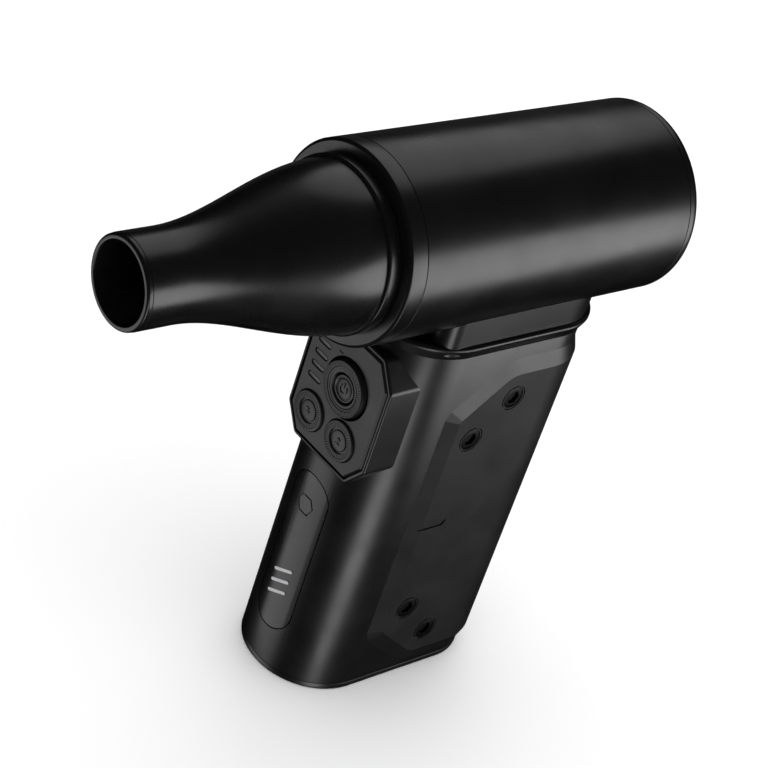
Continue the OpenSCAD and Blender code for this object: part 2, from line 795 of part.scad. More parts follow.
module dial_encoder() color([0.25, 0.25, 0.26]) difference() {
    rod_y(dial_x, dial_z, skirt_r + 0.6, floor_back + 0.8, panel_board_y);
    rod_y(dial_x, dial_z, 3.6, floor_back, panel_board_y + 1);
}

// ---- Battery and electronics ---------------------------------------------------

module at_cells() {
    for (y = cell_ys, s = [-1, 1]) translate([s * cell_pitch_x / 2, y]) children();
}

module cell(i) color([0.25, 0.45, 0.55]) {
    x = (i % 2 == 1 ? -1 : 1) * cell_pitch_x / 2;
    y = cell_ys[floor((i - 1) / 2)];
    rod_z(x, y, cell_d / 2, cells_z, cells_top);
}

module cell_holder(z0, z1) color([0.15, 0.15, 0.16]) {
    half_y = cell_pitch_y + 6;
    translate([0, cell_ys[1], z0]) linear_extrude(z1 - z0) difference() {
        square([26, 2 * half_y], center = true);
        for (y = [-1 : 1], s = [-1, 1])
            translate([s * cell_pitch_x / 2, y * cell_pitch_y]) circle(d = 9);
    }
}

module cell_holder_top() {
    z0 = cells_top + tab_t;
    cell_holder(z0, z0 + holder_t);
    color([0.15, 0.15, 0.16]) for (y = [0.5, 1.5]) both_sides()
        rod_z(10.5, cell_ys[0] + y * cell_pitch_y, 1.6, z0 + holder_t - 0.1, driver_z);
}

module cell_holder_bottom() {
    z1 = cells_z - tab_t;
    cell_holder(z1 - holder_t, z1);
    color([0.15, 0.15, 0.16]) for (y = [0.5, 1.5]) both_sides()
        rod_z(10.5, cell_ys[0] + y * cell_pitch_y, 1.6, bms_z + board_t, z1 - holder_t + 0.1);
}

module cell_tabs(z0) color([0.8, 0.8, 0.82]) for (y = cell_ys)
    translate([-cell_pitch_x / 2 - 4, y - 3.5, z0]) cube([cell_pitch_x + 8, 7, tab_t]);

module cell_tabs_top() cell_tabs(cells_top);
module cell_tabs_bottom() cell_tabs(cells_z - tab_t);

// The board narrows to a tongue that carries the port, between the shell's rear corners
module charge_board() color([0.05, 0.2, 0.1]) translate([0, 0, bms_z]) linear_extrude(board_t) {
    translate([-13, -24]) square([26, handle_rear - 7 + 24]);
    translate([-7, handle_rear - 7.5]) square([14, 4.5]);
}

module charge_port() color([0.7, 0.7, 0.72]) difference() {
    facing(handle_rear - port_d, handle_rear - 0.4) translate([0, port_z])
        stadium_flat(port_w, port_h);
    facing(handle_rear - port_d + 1, handle_rear) translate([0, port_z]) difference() {
        stadium_flat(port_w - 0.7, port_h - 0.7);
        square([6.6, 0.7], center = true);
    }
}

module driver_board() color([0.05, 0.2, 0.1]) difference() {
    translate([-15, -27, driver_z]) cube([30, 50, board_t]);
    rod_z(0, lead_y + 6, 1.2, driver_z - 1, driver_z + 5);
}

module capacitor() color([0.12, 0.12, 0.3])
    translate([-5, 8, driver_z + board_t + 5]) rotate([0, 90, 0]) cylinder(r = 5, h = 16);

module motor_leads() color([0.7, 0.1, 0.1]) for (a = [0 : 120 : 240])
    translate([0.9 * cos(a), lead_y + 0.9 * sin(a), driver_z + board_t])
        cylinder(r = 0.7, h = axis_h - pod_r + 1.5 - driver_z - board_t);

module battery_leads() color([0.7, 0.1, 0.1]) for (s = [-1, 1])
    translate([s * 1.5, -22.6, bms_z + board_t])
        cylinder(r = 1, h = driver_z - bms_z - board_t);

// ---- Assembly ------------------------------------------------------------------

barrel_tube();
front_collar();
rear_ring();
intake_grille();
outlet_sleeve();
vane_housing();
fan_shroud();
pod_nose();
motor_base();
motor_core();
bearing(motor_0);  // front_bearing
bearing(motor_0 + base_disc_t + tube_l - bearing_t);  // rear_bearing
motor_shaft();
rotor_bell();
magnet_ring();
impeller();
spinner_nut();
nozzle();
nozzle_seal();
saddle();
top_cap();
barrel_screws();
saddle_screws();
cap_screws();
handle_shell();
side_cover_left();
side_cover_right();
cover_screws_left();
cover_screws_right();
front_inlay();
base_cap();
base_screws();
control_block();
control_plate();
level_bars();
speed_dial();
power_button();
mode_button();
light_button();
panel_board();
tact_switches();
dial_encoder();
for (i = [1 : 6]) cell(i);
cell_holder_top();
cell_holder_bottom();
cell_tabs_top();
cell_tabs_bottom();
charge_board();
charge_port();
driver_board();
capacitor();
motor_leads();
battery_leads();
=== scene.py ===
"""Looks of a handheld jet blower for drying cars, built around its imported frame.

The nozzle points along -Y, +Z is up, and the handle stands on z = 0. Lengths are in metres;
MM turns millimetres into them. Places and outer sizes come from the frame's own boxes; small
details are given in millimetres.
"""

import json
import math

import bmesh
import bpy
from mathutils import Matrix, Vector


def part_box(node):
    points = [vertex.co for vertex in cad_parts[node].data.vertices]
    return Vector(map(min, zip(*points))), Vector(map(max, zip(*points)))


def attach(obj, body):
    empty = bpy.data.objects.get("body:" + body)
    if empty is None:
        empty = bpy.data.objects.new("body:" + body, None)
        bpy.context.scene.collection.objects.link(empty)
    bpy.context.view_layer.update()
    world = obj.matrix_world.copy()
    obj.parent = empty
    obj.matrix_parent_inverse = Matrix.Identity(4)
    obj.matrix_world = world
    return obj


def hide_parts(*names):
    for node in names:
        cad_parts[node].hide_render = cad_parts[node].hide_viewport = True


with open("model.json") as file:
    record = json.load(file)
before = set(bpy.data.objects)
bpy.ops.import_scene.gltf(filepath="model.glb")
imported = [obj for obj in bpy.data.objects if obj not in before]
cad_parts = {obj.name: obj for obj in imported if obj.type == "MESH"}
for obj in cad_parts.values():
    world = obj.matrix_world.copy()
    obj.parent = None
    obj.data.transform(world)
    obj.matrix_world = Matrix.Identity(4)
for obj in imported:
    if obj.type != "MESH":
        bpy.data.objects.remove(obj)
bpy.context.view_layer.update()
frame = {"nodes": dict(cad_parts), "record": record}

MM = 0.001

# ---- Sizes -----------------------------------------------------------------------------


def span(node, axis):
    """Lowest and highest place of a node along one axis, 0 to 2."""
    low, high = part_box(node)
    return low[axis], high[axis]


def middle(node, axis):
    low, high = span(node, axis)
    return (low + high) / 2


def half(node, axis):
    low, high = span(node, axis)
    return (high - low) / 2


mounts = {m["name"]: m for m in frame["record"]["mounts"]}
AXIS_Z = middle("barrel_tube", 2)
BARREL_R = half("barrel_tube", 0)
BARREL_WALL = 2.2 * MM
FRONT_Y = span("front_collar", 1)[0]
TUBE_Y = span("barrel_tube", 1)
REAR_Y = span("rear_ring", 1)[1]
DUCT_R = half("fan_shroud", 0) - 1.6 * MM
HANDLE_W = half("handle_shell", 0)
HANDLE_Y = span("handle_shell", 1)
HANDLE_Z = span("handle_shell", 2)
SHELL_WALL = 1.6 * MM
FRONT_CORNER = 21.2 * MM
REAR_CORNER = 18.5 * MM
COVER_RISE = span("side_cover_left", 0)[1] - HANDLE_W
COVER_Z = span("side_cover_left", 2)
CAP_Z = (HANDLE_Z[1], span("top_cap", 2)[1])
BLOCK_X = half("control_block", 0)
BLOCK_MID = middle("control_block", 2)
BLOCK_FRONT = span("control_block", 1)[0]
PLATE_FRONT = span("control_plate", 1)[0]
DIAL_X = middle("speed_dial", 0)
DIAL_Z = middle("speed_dial", 2)
DIAL_R = half("speed_dial", 0)
HANDLE_LIP = half("top_cap", 0) - HANDLE_W
BARREL_AXIS = (0, AXIS_Z)
NOZZLE_STEP = 2.3 * MM
SPIGOT_GAP = 0.2 * MM
LEAD_Y = middle("motor_leads", 1)
LEAD_HOLE_R = 3 * MM
SCREW_HOLE_R = 1.35 * MM
SCREW_EDGE = 2.5 * MM
BARREL_SCREW_Y = (span("barrel_screws", 1)[0] + SCREW_EDGE,
                  span("barrel_screws", 1)[1] - SCREW_EDGE)
INLAY_GAP = 0.4 * MM
KEY_STEM_R = 2.2 * MM

# ---- Outlines --------------------------------------------------------------------------


def rounded(outline, steps=8):
    """A closed outline of (x, y, radius) corners as points, each corner turned to its radius."""
    points = []
    for i, (x, y, radius) in enumerate(outline):
        corner = Vector((x, y))
        if radius <= 0:
            points.append(corner)
            continue
        before = (Vector(outline[i - 1][:2]) - corner).normalized()
        after = (Vector(outline[(i + 1) % len(outline)][:2]) - corner).normalized()
        half_angle = before.angle(after) / 2
        centre = corner + (before + after).normalized() * (radius / math.sin(half_angle))
        start = corner + before * (radius / math.tan(half_angle)) - centre
        end = corner + after * (radius / math.tan(half_angle)) - centre
        turn = -start.angle_signed(end)
        for k in range(steps + 1):
            points.append(centre + Matrix.Rotation(turn * k / steps, 2) @ start)
    return points


def rectangle(x0, x1, y0, y1):
    """A plain rectangle as (x, y, radius) corners."""
    return [(x0, y0, 0), (x1, y0, 0), (x1, y1, 0), (x0, y1, 0)]


def quarter(steps):
    """Angles from 0 to 90 degrees in equal steps."""
    return [math.pi / 2 * k / steps for k in range(steps + 1)]


def inset(outline, distance):
    """The same convex outline of (x, y, radius) corners, every side moved inwards."""
    area = sum(a[0] * b[1] - b[0] * a[1] for a, b in zip(outline, outline[1:] + outline[:1]))
    turn = 1 if area > 0 else -1
    moved = []
    for i, (x, y, radius) in enumerate(outline):
        corner = Vector((x, y))
        before = (corner - Vector(outline[i - 1][:2])).normalized()
        after = (Vector(outline[(i + 1) % len(outline)][:2]) - corner).normalized()
        inward = Vector((-before.y - after.y, before.x + after.x)) * turn / (1 + before.dot(after))
        place = corner + inward * distance
        moved.append((place.x, place.y, radius and max(radius - distance, 0.02 * MM)))
    return moved


def handle_outline(grow=0.0):
    """The handle seen from above, grown outwards on every side."""
    w = HANDLE_W + grow
    y0, y1 = HANDLE_Y[0] - grow, HANDLE_Y[1] + grow
    front, rear = FRONT_CORNER + grow, REAR_CORNER + grow
    return [(-w, y0, front), (w, y0, front), (w, y1, rear), (-w, y1, rear)]


def cut_rectangle(x, z, half_w, half_h, cut, soft=0.0):
    """A rectangle whose four corners are cut off straight, each new corner softened."""
    outline = []
    for sx, sz, first_along_x in ((-1, -1, False), (1, -1, True), (1, 1, False), (-1, 1, True)):
        along_x = (x + sx * (half_w - cut[0]), z + sz * half_h, soft)
        along_z = (x + sx * half_w, z + sz * (half_h - cut[1]), soft)
        outline += [along_x, along_z] if first_along_x else [along_z, along_x]
    return outline


def stadium(x, z, half_w, half_h):
    """A slot with fully round ends."""
    r = min(half_w, half_h) * 0.9999
    return [(x - half_w, z - half_h, r), (x + half_w, z - half_h, r),
            (x + half_w, z + half_h, r), (x - half_w, z + half_h, r)]


def circle(x, z, radius, sides=64):
    return [Vector((x + radius * math.cos(math.tau * k / sides),
                    z + radius * math.sin(math.tau * k / sides))) for k in range(sides)]


# ---- Solids ----------------------------------------------------------------------------


def at(axis, point, depth):
    """A point of an outline drawn square to an axis, at a depth along that axis."""
    a, b = point
    return {"z": (a, b, depth), "y": (a, depth, b), "x": (depth, a, b)}[axis]


def stack(rings, axis, depths):
    """Rings with the same number of points, each at its depth, joined into one solid."""
    bm = bmesh.new()
    loops = [[bm.verts.new(at(axis, p, depth)) for p in ring] for ring, depth in zip(rings, depths)]
    bm.faces.new(loops[0])
    bm.faces.new(loops[-1])
    for lower, upper in zip(loops, loops[1:]):
        for i in range(len(lower)):
            bm.faces.new((lower[i - 1], lower[i], upper[i], upper[i - 1]))
    bmesh.ops.recalc_face_normals(bm, faces=bm.faces)
    return bm


def slab(points, axis, start, end):
    """An outline given thickness along an axis."""
    return stack([points, points], axis, [start, end])


def rim(start, end, near, far, segments):
    """Insets and depths that round the near and far rims of a slab."""
    side = 1 if end > start else -1
    near_rim, far_rim = [(0, start)], [(0, end)]
    if near > 0:
        near_rim = [(near * (1 - math.sin(a)), start + side * near * (1 - math.cos(a)))
                    for a in quarter(segments)]
    if far > 0:
        far_rim = [(far * (1 - math.cos(a)), end - side * far * (1 - math.sin(a)))
                   for a in quarter(segments)]
    return near_rim + far_rim


def plate(outline, axis, start, end, near=0.0, far=0.0, segments=4, steps=8):
    """A slab of a convex outline whose two rims are rounded by near and far."""
    layers = rim(start, end, near, far, segments)
    rings = [rounded(inset(outline, d), steps) for d, _ in layers]
    return stack(rings, axis, [depth for _, depth in layers])


def turned(profile, centre, steps, closed=True):
    """A profile of (radius, y) points spun about a line along Y through centre (x, z)."""
    bm = bmesh.new()
    x, z = centre
    verts = [bm.verts.new((x + r, y, z)) for r, y in profile]
    pairs = list(zip(verts, verts[1:])) + ([(verts[-1], verts[0])] if closed else [])
    edges = [bm.edges.new(pair) for pair in pairs]
    bmesh.ops.spin(bm, geom=verts + edges, cent=(x, 0, z), axis=(0, 1, 0),
                   angle=math.tau, steps=steps, use_merge=True)
    bmesh.ops.remove_doubles(bm, verts=bm.verts, dist=1e-7)
    bmesh.ops.recalc_face_normals(bm, faces=bm.faces)
    return bm


def rod(axis, a, b, radius, start, end, sides=48, near=0.0, far=0.0):
    """A round bar along an axis through (a, b), its ends rounded by near and far."""
    layers = rim(start, end, near, far, 3)
    rings = [circle(a, b, radius - d, sides) for d, _ in layers]
    return stack(rings, axis, [depth for _, depth in layers])


def joined(*parts):
    """Several solids in one mesh."""
    whole = bmesh.new()
    for part in parts:
        mesh = bpy.data.meshes.new("part")
        part.to_mesh(mesh)
        part.free()
        whole.from_mesh(mesh)
        bpy.data.meshes.remove(mesh)
    return whole


def as_object(name, bm):
    mesh = bpy.data.meshes.new(name)
    bm.to_mesh(mesh)
    bm.free()
    thing = bpy.data.objects.new(name, mesh)
    bpy.context.collection.objects.link(thing)
    return thing


def carved(bm, *cutters, how="DIFFERENCE"):
    """The solid after each cutter is taken from it, or kept in common with it."""
    body = as_object("blank", bm)
    tools = [as_object("cutter", c) for c in cutters]
    for tool in tools:
        step = body.modifiers.new("cut", "BOOLEAN")
        step.operation = how
        step.solver = "EXACT"
        step.object = tool
    shaped = body.evaluated_get(bpy.context.evaluated_depsgraph_get())
    result = bmesh.new()
    result.from_mesh(shaped.to_mesh())
    shaped.to_mesh_clear()
    for thing in [body, *tools]:
        mesh = thing.data
        bpy.data.objects.remove(thing)
        bpy.data.meshes.remove(mesh)
    bmesh.ops.remove_doubles(result, verts=result.verts, dist=2e-7)
    bmesh.ops.dissolve_degenerate(result, edges=result.edges, dist=2e-7)
    return result


def mirrored(bm):
    """The same solid on the other side of the handle."""
    bmesh.ops.scale(bm, verts=bm.verts, vec=(-1, 1, 1))
    bmesh.ops.reverse_faces(bm, faces=bm.faces)
    return bm


def piece(name, bm, body, nodes, finish, soften=0.0, crease=32):
    """Makes the finished piece, gives it its finish, hangs it on its body and hides the CAD nodes
    it stands for.
    """
    thing = as_object(name, bm)
    thing.data.materials.append(finish)
    for face in thing.data.polygons:
        face.use_smooth = True
    thing.data.set_sharp_from_angle(angle=math.radians(crease))
    if soften > 0:
        edge = thing.modifiers.new("soft edges", "BEVEL")
        edge.width = soften
        edge.segments = 2
        edge.limit_method = "ANGLE"
        edge.angle_limit = math.radians(24)
        edge.harden_normals = True
        edge.use_clamp_overlap = True
    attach(thing, body)
    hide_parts(*nodes)


# ---- Finishes --------------------------------------------------------------------------


class Finish:
    """A material's nodes, added one at a time and wired by name."""

    def __init__(self, name):
        self.material = bpy.data.materials.new(name)
        self.material.use_nodes = True
        self.tree = self.material.node_tree
        self.shader = self.tree.nodes["Principled BSDF"]
        self.place = self.add("ShaderNodeTexCoord").outputs["Object"]

    def add(self, kind, **settings):
        node = self.tree.nodes.new(kind)
        for key, value in settings.items():
            setattr(node, key, value)
        return node

    def link(self, source, target):
        self.tree.links.new(source, target)

    def noise(self, size, detail=2.0, stretch=(1, 1, 1)):
        """Cloudy pattern whose features are about size metres across."""
        mapping = self.add("ShaderNodeMapping")
        mapping.inputs["Scale"].default_value = [s / size for s in stretch]
        self.link(self.place, mapping.inputs["Vector"])
        pattern = self.add("ShaderNodeTexNoise")
        pattern.inputs["Scale"].default_value = 1.0
        pattern.inputs["Detail"].default_value = detail
        self.link(mapping.outputs["Vector"], pattern.inputs["Vector"])
        return pattern.outputs["Fac"]

    def between(self, source, low, high):
        """The middle of the pattern's range spread from low to high."""
        spread = self.add("ShaderNodeMapRange")
        limits = {"From Min": 0.3, "From Max": 0.7, "To Min": low, "To Max": high}
        for name, value in limits.items():
            spread.inputs[name].default_value = value
        self.link(source, spread.inputs["Value"])
        return spread.outputs["Result"]

    def blend_colours(self, source, first, second):
        mix = self.add("ShaderNodeMix", data_type="RGBA")
        mix.inputs[6].default_value = (*first, 1)
        mix.inputs[7].default_value = (*second, 1)
        self.link(source, mix.inputs[0])
        self.link(mix.outputs[2], self.shader.inputs["Base Color"])

    def bump(self, source, depth):
        node = self.add("ShaderNodeBump")
        node.inputs["Distance"].default_value = depth
        self.link(source, node.inputs["Height"])
        self.link(node.outputs["Normal"], self.shader.inputs["Normal"])

    def set(self, **values):
        names = {"metallic": "Metallic", "ior": "IOR"}
        for key, value in values.items():
            self.shader.inputs[names[key]].default_value = value


def moulded_plastic(name, tone, rough, grain_depth=0.012 * MM):
    """Black moulded plastic: a fine spark-eroded grain, and a sheen that wanders a little."""
    f = Finish(name)
    cloud = f.noise(14 * MM, detail=3)
    f.link(f.between(cloud, rough - 0.03, rough + 0.04), f.shader.inputs["Roughness"])
    f.blend_colours(f.noise(5 * MM), [t * 0.88 for t in tone], [t * 1.12 for t in tone])
    f.bump(f.noise(0.35 * MM, detail=1), grain_depth)
    f.set(ior=1.5)
    return f.material


def turned_metal(name, tone, rough):
    """Metal with fine tool marks that run round it."""
    f = Finish(name)
    marks = f.noise(0.15 * MM, stretch=(0.15, 1, 0.15))
    f.link(f.between(marks, rough - 0.08, rough + 0.08), f.shader.inputs["Roughness"])
    f.blend_colours(f.noise(3 * MM), [t * 0.9 for t in tone], tone)
    f.bump(marks, 0.004 * MM)
    f.set(metallic=1.0)
    return f.material


def coated(name, tone, rough, metallic=0.0):
    """Plain inner parts: an even colour with slight clouding and a soft grain."""
    f = Finish(name)
    cloud = f.noise(2 * MM, detail=3)
    f.link(f.between(cloud, rough - 0.05, rough + 0.06), f.shader.inputs["Roughness"])
    f.blend_colours(cloud, [t * 0.85 for t in tone], [min(1, t * 1.1) for t in tone])
    f.bump(f.noise(2 * MM / 6), 0.01 * MM)
    f.set(metallic=metallic)
    return f.material


BLACK = (0.0028, 0.0028, 0.003)
barrel_finish = moulded_plastic("barrel_satin", BLACK, 0.30, grain_depth=0.006 * MM)
nozzle_finish = moulded_plastic("nozzle_satin", BLACK, 0.27, grain_depth=0.005 * MM)
handle_finish = moulded_plastic("handle_satin", BLACK, 0.33, grain_depth=0.008 * MM)
cover_finish = moulded_plastic("cover_matt", (0.0038, 0.0038, 0.004), 0.38)
cap_finish = moulded_plastic("cap_satin", BLACK, 0.32)
plate_finish = moulded_plastic("panel_matt", (0.005, 0.005, 0.0053), 0.4)
key_finish = moulded_plastic("key_satin", (0.006, 0.006, 0.0063), 0.34)
inlay_finish = moulded_plastic("inlay_polished", BLACK, 0.22, grain_depth=0.002 * MM)
bar_finish = moulded_plastic("light_guide", (0.02, 0.02, 0.021), 0.25)
mark_finish = moulded_plastic("pale_marks", (0.32, 0.32, 0.33), 0.4)
screw_finish = turned_metal("blackened_steel", (0.02, 0.02, 0.021), 0.4)
grille_finish = moulded_plastic("grille_satin", BLACK, 0.36)
rubber_finish = coated("rubber", (0.015, 0.015, 0.015), 0.6)
duct_finish = moulded_plastic("duct_moulding", (0.05, 0.05, 0.055), 0.45)
impeller_finish = moulded_plastic("glass_filled", (0.07, 0.07, 0.078), 0.42)
aluminium_finish = turned_metal("turned_aluminium", (0.62, 0.62, 0.64), 0.3)
steel_finish = turned_metal("ground_steel", (0.55, 0.55, 0.57), 0.25)
bell_finish = turned_metal("bell_steel", (0.16, 0.16, 0.17), 0.35)
winding_finish = coated("enamelled_winding", (0.55, 0.25, 0.1), 0.3, metallic=0.8)
cell_finish = coated("cell_sleeve", (0.05, 0.2, 0.32), 0.25)
holder_finish = moulded_plastic("holder_moulding", (0.03, 0.03, 0.033), 0.5)
nickel_finish = turned_metal("nickel_strip", (0.65, 0.64, 0.6), 0.3)
board_finish = coated("solder_mask", (0.02, 0.14, 0.07), 0.35)
lead_finish = coated("silicone_sleeve", (0.45, 0.03, 0.03), 0.5)
capacitor_finish = coated("capacitor_sleeve", (0.03, 0.04, 0.18), 0.3)

# ---- Nozzle and barrel -----------------------------------------------------------------


def ease(t):
    """Smooth step from 0 to 1."""
    t = min(1.0, max(0.0, t))
    return t * t * (3 - 2 * t)


def taper(y, y0, y1, r0, r1):
    """Radius at y on a smooth S that goes from r0 at y0 to r1 at y1."""
    return r0 + (r1 - r0) * ease((y - y0) / (y1 - y0))


def make_nozzle():
    """A long S-shaped taper with a straight bored mouth, a rolled lip and a stepped foot."""
    mouth_y, spigot_end = span("nozzle", 1)
    foot_r = half("nozzle", 0)
    foot_y = FRONT_Y - 0.1 * MM
    mouth = mounts["nozzle_mouth"]["dims"]
    bore = mouth["r_mm"] * MM
    lip_r = bore + 1.7 * MM
    shoulder_r = foot_r - 0.9 * MM
    spigot_r = foot_r - NOZZLE_STEP
    inner_r = spigot_r - 2.1 * MM
    flare_from = mouth_y + 12.4 * MM
    flare_to = FRONT_Y - 4.0 * MM
    bore_end = mouth_y + mouth["length_mm"] * MM
    steps = 48
    outer = []
    for k in range(steps + 1):
        y = flare_to - 0.4 * MM + (flare_from - flare_to) * k / steps
        outer.append((taper(y, flare_from, flare_to, lip_r, shoulder_r), y))
    inner = []
    for k in range(1, steps + 1):
        y = bore_end + (FRONT_Y - bore_end) * k / steps
        inner.append((taper(y, bore_end, FRONT_Y, bore, inner_r), y))
    groove_y = middle("nozzle_seal", 1)
    groove = 0.85 * MM
    foot = rounded([
        (inner_r, spigot_end, 0), (spigot_r, spigot_end, 0.4 * MM),
        (spigot_r, groove_y + groove, 0), (spigot_r - 1.4 * MM, groove_y + groove, 0),
        (spigot_r - 1.4 * MM, groove_y - groove, 0), (spigot_r, groove_y - groove, 0),
        (spigot_r, foot_y, 0), (foot_r, foot_y, 0.25 * MM),
        (foot_r, flare_to + 0.3 * MM, 0.7 * MM), (shoulder_r, flare_to - 0.1 * MM, 0),
    ], 5)
    lip = rounded([
        (lip_r, mouth_y + 2.2 * MM, 0), (lip_r, mouth_y + 1.7 * MM, 0),
        (lip_r - 0.12 * MM, mouth_y + 1.55 * MM, 0),
        (lip_r - 0.12 * MM, mouth_y, 0.75 * MM), (bore, mouth_y, 0.3 * MM),
        (bore, bore_end, 0),
    ], 6)
    profile = foot + outer + lip + inner
    piece("nozzle_body", turned(profile, BARREL_AXIS, 160), "nozzle", ["nozzle"],
          nozzle_finish, crease=28)


def ring_profile(outer, inner, y0, y1, front=0.0, back=0.0):
    """Section of a plain ring whose outer edges are rounded by front and back."""
    return rounded([(inner, y0, 0), (outer, y0, front), (outer, y1, back), (inner, y1, 0)], 10)


def make_barrel():
    seam = 0.22 * MM
    bore = BARREL_R - BARREL_WALL
    tube = turned(ring_profile(BARREL_R, bore, *TUBE_Y, seam, seam), BARREL_AXIS, 192)
    below = AXIS_Z - 1.1 * BARREL_R
    holes = [rod("z", 0, LEAD_Y, LEAD_HOLE_R, below, AXIS_Z)]
    for y in BARREL_SCREW_Y:
        holes.append(rod("z", 0, y, SCREW_HOLE_R, below, AXIS_Z))
        holes.append(rod("z", 0, y, 2.7 * MM, AXIS_Z - bore - 0.9 * MM, AXIS_Z))
    piece("barrel_skin", carved(tube, *holes), "housing", ["barrel_tube"],
          barrel_finish, crease=24)

    y0, lap_end = span("front_collar", 1)
    y1 = TUBE_Y[0]
    hole = half("nozzle", 0) - NOZZLE_STEP + SPIGOT_GAP
    collar = rounded([
        (hole, y0 + 0.25 * MM, 0), (half("nozzle", 0) + 0.5 * MM, y0 + 0.25 * MM, 0),
        (BARREL_R - 0.9 * MM, y0, 0.3 * MM), (BARREL_R, y0 + 0.55 * MM, 0.5 * MM),
        (BARREL_R, y1, seam), (bore - SPIGOT_GAP, y1, 0), (bore - SPIGOT_GAP, lap_end, 0.3 * MM),
        (hole, lap_end, 0)], 6)
    piece("collar_skin", turned(collar, BARREL_AXIS, 192), "housing",
          ["front_collar"], barrel_finish, crease=20)

    y2 = TUBE_Y[1]
    lip = DUCT_R - 1.2 * MM
    seat = DUCT_R + 0.5 * MM
    grille_y = span("intake_grille", 1)
    spigot_y = span("rear_ring", 1)[0]
    spigot = bore - SPIGOT_GAP
    section = rounded([
        (seat, spigot_y, 0), (spigot, spigot_y, 0.3 * MM), (spigot, y2, 0), (BARREL_R, y2, seam),
        (BARREL_R, REAR_Y, 3.4 * MM), (lip, REAR_Y, 0.8 * MM), (lip, grille_y[1], 0),
        (seat, grille_y[1], 0)], 12)
    piece("rear_rim", turned(section, BARREL_AXIS, 192), "housing", ["rear_ring"],
          barrel_finish, crease=24)


def make_grille():
    """Concentric rounded rings on eight flat spokes, with a domed middle."""
    y0, y1 = span("intake_grille", 1)
    outer = half("intake_grille", 0)
    rings = 4
    hub = 5.2 * MM
    middle_r = 5 * MM
    step = (outer - 2 * MM - middle_r) / rings
    edge = 0.35 * MM
    parts = [turned(ring_profile(outer, outer - 2 * MM, y0, y1, edge, edge), BARREL_AXIS, 128)]
    for i in range(1, rings):
        r = middle_r + i * step
        section = rounded([
            (r - 0.6 * MM, y0 + 0.5 * MM, 0.5 * MM), (r + 0.6 * MM, y0 + 0.5 * MM, 0.5 * MM),
            (r + 0.6 * MM, y1, 0.5 * MM), (r - 0.6 * MM, y1, 0.5 * MM)], 4)
        parts.append(turned(section, BARREL_AXIS, 128))
    for k in range(8):
        spoke = plate(rectangle(-0.7 * MM, 0.7 * MM, 4.5 * MM, outer - 1 * MM),
                      "y", y0 + 0.3 * MM, y1 - 0.3 * MM, 0.2 * MM, 0.2 * MM, 2)
        bmesh.ops.rotate(spoke, verts=spoke.verts, cent=(0, 0, 0),
                         matrix=Matrix.Rotation(math.tau * k / 8, 3, "Y"))
        bmesh.ops.translate(spoke, verts=spoke.verts, vec=(0, 0, AXIS_Z))
        parts.append(spoke)
    rise = 1.2 * MM
    dome = [(0, y0), (hub, y0)]
    dome += [(hub * math.cos(a), y1 - rise + rise * math.sin(a)) for a in quarter(6)]
    parts.append(turned(dome, BARREL_AXIS, 64, closed=False))
    piece("grille_bars", joined(*parts), "housing", ["intake_grille"],
          grille_finish, crease=40)


# ---- Saddle, caps and handle -----------------------------------------------------------


# Insets and heights, in millimetres, of the cap's lipped rim as it rises from the handle.
CAP_RIM = ((1.5, 0), (1.15, 0.8), (0.7, 1.7), (0.32, 2.6), (0.1, 3.1), (0, 3.4), (0, 3.7),
           (0.06, 3.95), (0.22, 4.2), (0.45, 4.38), (0.8, 4.5))


def saddle_outline(grow=0.0):
    """The saddle seen from above, grown outwards on every side."""
    w = half("saddle", 0) + grow
    y0, y1 = span("saddle", 1)
    front, rear = 6 * MM + grow, REAR_CORNER + HANDLE_LIP - 1.2 * MM + grow
    y0, y1 = y0 - grow, y1 + grow
    return [(-w, y0, front), (w, y0, front), (w, y1, rear), (-w, y1, rear)]


def barrel_core(extra):
    """Cutter in the barrel's place, larger by extra."""
    return rod("y", 0, AXIS_Z, BARREL_R + extra, FRONT_Y - 10 * MM, REAR_Y + 20 * MM, sides=192)


def upright(x, y, radius, z0, z1):
    return rod("z", x, y, radius, z0, z1, sides=32)


def make_saddle_and_cap():
    z0, z1 = span("saddle", 2)
    block = slab(rounded(saddle_outline(), 12), "z", z0, z1 + 6 * MM)
    saddle = carved(block, barrel_core(0.02 * MM),
                    upright(0, LEAD_Y, LEAD_HOLE_R, z0 - 1 * MM, AXIS_Z))
    piece("saddle_block", saddle, "housing", ["saddle"], cap_finish,
          soften=0.35 * MM)

    rise = CAP_RIM[-1][1]
    cap = stack([rounded(handle_outline(HANDLE_LIP - d * MM), 24) for d, _ in CAP_RIM], "z",
                [CAP_Z[0] + (CAP_Z[1] - CAP_Z[0]) * z / rise for _, z in CAP_RIM])
    pocket = slab(rounded(saddle_outline(0.15 * MM), 12), "z", z0, CAP_Z[1] + 4 * MM)
    holes = [upright(0, LEAD_Y, LEAD_HOLE_R + 1 * MM, CAP_Z[0] - 1 * MM, AXIS_Z)]
    holes += [upright(0, y, SCREW_HOLE_R, CAP_Z[0] - 5 * MM, AXIS_Z) for y in BARREL_SCREW_Y]
    cap = carved(cap, pocket, barrel_core(0.3 * MM), *holes)
    piece("top_cap_plate", cap, "housing", ["top_cap"], cap_finish, crease=26)


def inlay_slot(grow=0.0):
    """The inlay's outline as a block that runs through the handle's rounded nose."""
    x_half = half("front_inlay", 0) + grow
    z_half = half("front_inlay", 2) + grow
    return slab(rounded(stadium(0, middle("front_inlay", 2), x_half, z_half), 20), "y",
                HANDLE_Y[0] - 2 * MM, HANDLE_Y[0] + 9 * MM)


def handle_core(grow, z0, z1):
    """The handle's outline, grown or shrunk, between two heights."""
    return slab(rounded(handle_outline(grow), 28), "z", z0, z1)


